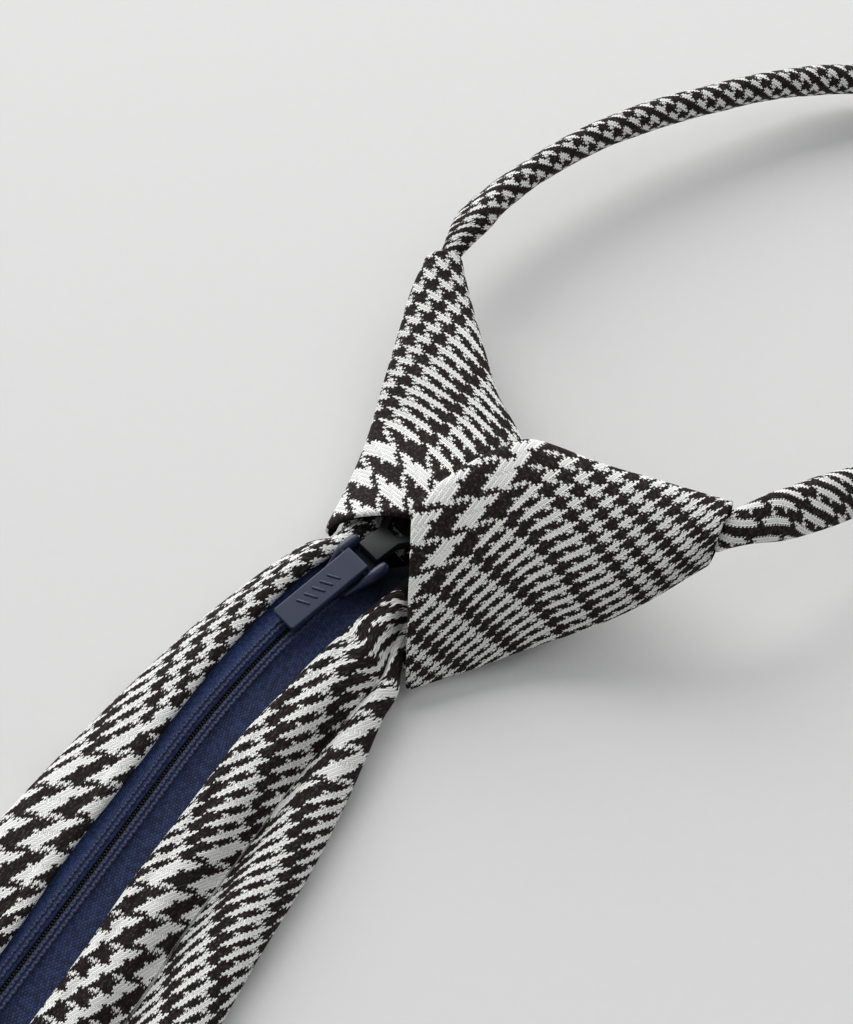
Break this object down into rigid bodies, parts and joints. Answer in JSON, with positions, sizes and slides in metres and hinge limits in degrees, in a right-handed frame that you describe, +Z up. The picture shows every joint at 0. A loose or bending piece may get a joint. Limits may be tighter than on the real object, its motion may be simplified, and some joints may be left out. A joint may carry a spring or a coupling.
{
  "type": "zipper tie",
  "caption": "Pre-tied zipper tie lying face down: a folded blade with a zip down its back, a hollow knot of cloth wings and a padded neck loop.",
  "frame": {"origin": "centre of the flat face under the knot's front wrap, which the knot rests on", "axes": "+Z up, away from the table and toward the wearer; +Y along the blade from its point toward the knot; +X to the right when the back of the tie is seen with the knot at the top"},
  "size_m": [0.1353, 0.6176, 0.0278],
  "materials": {
    "checked_cloth": "matt woven twill in a black and off-white check",
    "navy_tape": "matt fine twill tape",
    "black_coil": "satin",
    "navy_paint": "glossy",
    "black_clip": "satin"
  },
  "bodies": {
    "tie": {"blade": "checked_cloth", "wing_left": "checked_cloth", "wing_right": "checked_cloth", "knot_front": "checked_cloth", "neck_loop": "checked_cloth", "zip_tape_left": "navy_tape", "zip_tape_right": "navy_tape", "zip_chain": "black_coil", "slider_body": "navy_paint", "slider_clip": "black_clip"},
    "pull": {"zip_pull": "navy_paint"}
  },
  "joints": [
    {"name": "pull_hinge", "type": "hinge", "parent": "tie", "child": "pull", "pos_m": [-0.01001, -0.01672, 0.01175], "axis": [-0.9596, 0.2815, 0], "range_deg": [0, 110]}
  ]
}
